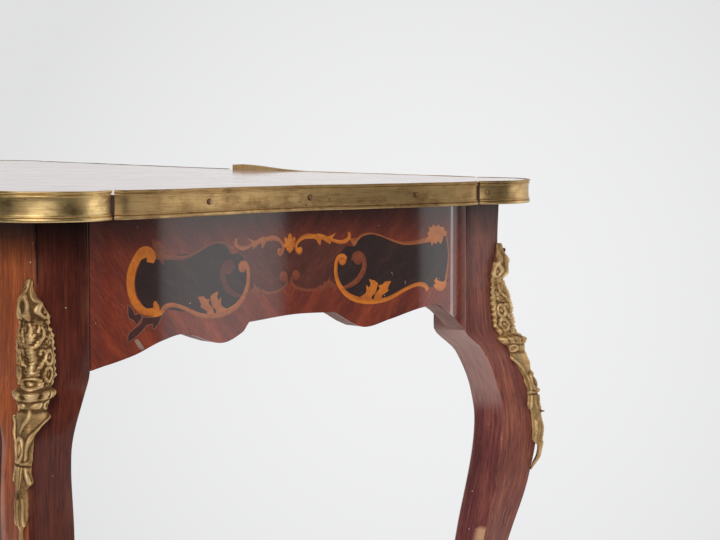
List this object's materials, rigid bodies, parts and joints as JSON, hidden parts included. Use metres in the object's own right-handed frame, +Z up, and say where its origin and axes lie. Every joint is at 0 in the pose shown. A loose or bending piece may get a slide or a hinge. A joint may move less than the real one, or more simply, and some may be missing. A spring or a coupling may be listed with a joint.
{
  "type": "occasional table",
  "caption": "Serpentine-topped occasional table with a brass edge band, scalloped marquetry aprons, cabriole legs, gilt bronze knee mounts and shoes; free-standing.",
  "frame": {"origin": "on the floor under the middle of the top", "axes": "+X along the long side, +Y towards the back, +Z up"},
  "size_m": [0.8528, 0.5468, 0.7559],
  "materials": {
    "rosewood_veneer": "figured rosewood veneer under glossy varnish, with inlaid scrolls on the aprons",
    "leg_wood": "red-brown veneered wood, polished",
    "carcase_wood": "bare beech and oak, dusty and unpolished",
    "brass": "drawn brass moulding, aged, with bright worn beads",
    "gilt_bronze": "cast and chased bronze with worn gilding",
    "steel": "plain iron wood screws"
  },
  "bodies": {
    "root": {"top_core": "carcase_wood", "top_veneer": "rosewood_veneer", "band_lobe_front_right": "brass", "band_lobe_back_right": "brass", "band_lobe_back_left": "brass", "band_lobe_front_left": "brass", "band_end_right": "brass", "band_end_left": "brass", "band_front_first": "brass", "band_front_second": "brass", "band_back_first": "brass", "band_back_second": "brass", "band_end_right_pin_1": "brass", "band_end_right_pin_2": "brass", "band_end_right_pin_3": "brass", "band_end_left_pin_1": "brass", "band_end_left_pin_2": "brass", "band_end_left_pin_3": "brass", "apron_right": "carcase_wood", "apron_veneer_right": "rosewood_veneer", "apron_back": "carcase_wood", "apron_veneer_back": "rosewood_veneer", "apron_left": "carcase_wood", "apron_veneer_left": "rosewood_veneer", "apron_front": "carcase_wood", "apron_veneer_front": "rosewood_veneer", "leg_front_right": "leg_wood", "chute_front_right": "gilt_bronze", "sabot_front_right": "gilt_bronze", "corner_block_front_right": "carcase_wood", "block_screw_front_right": "steel", "top_screw_front_right": "steel", "leg_back_right": "leg_wood", "chute_back_right": "gilt_bronze", "sabot_back_right": "gilt_bronze", "corner_block_back_right": "carcase_wood", "block_screw_back_right": "steel", "top_screw_back_right": "steel", "leg_back_left": "leg_wood", "chute_back_left": "gilt_bronze", "sabot_back_left": "gilt_bronze", "corner_block_back_left": "carcase_wood", "block_screw_back_left": "steel", "top_screw_back_left": "steel", "leg_front_left": "leg_wood", "chute_front_left": "gilt_bronze", "sabot_front_left": "gilt_bronze", "corner_block_front_left": "carcase_wood", "block_screw_front_left": "steel", "top_screw_front_left": "steel", "tenon_peg_front_right_of_right": "carcase_wood", "tenon_peg_front_right_of_front": "carcase_wood", "tenon_peg_back_right_of_right": "carcase_wood", "tenon_peg_back_right_of_back": "carcase_wood", "tenon_peg_back_left_of_back": "carcase_wood", "tenon_peg_back_left_of_left": "carcase_wood", "tenon_peg_front_left_of_left": "carcase_wood", "tenon_peg_front_left_of_front": "carcase_wood"}
  },
  "joints": []
}
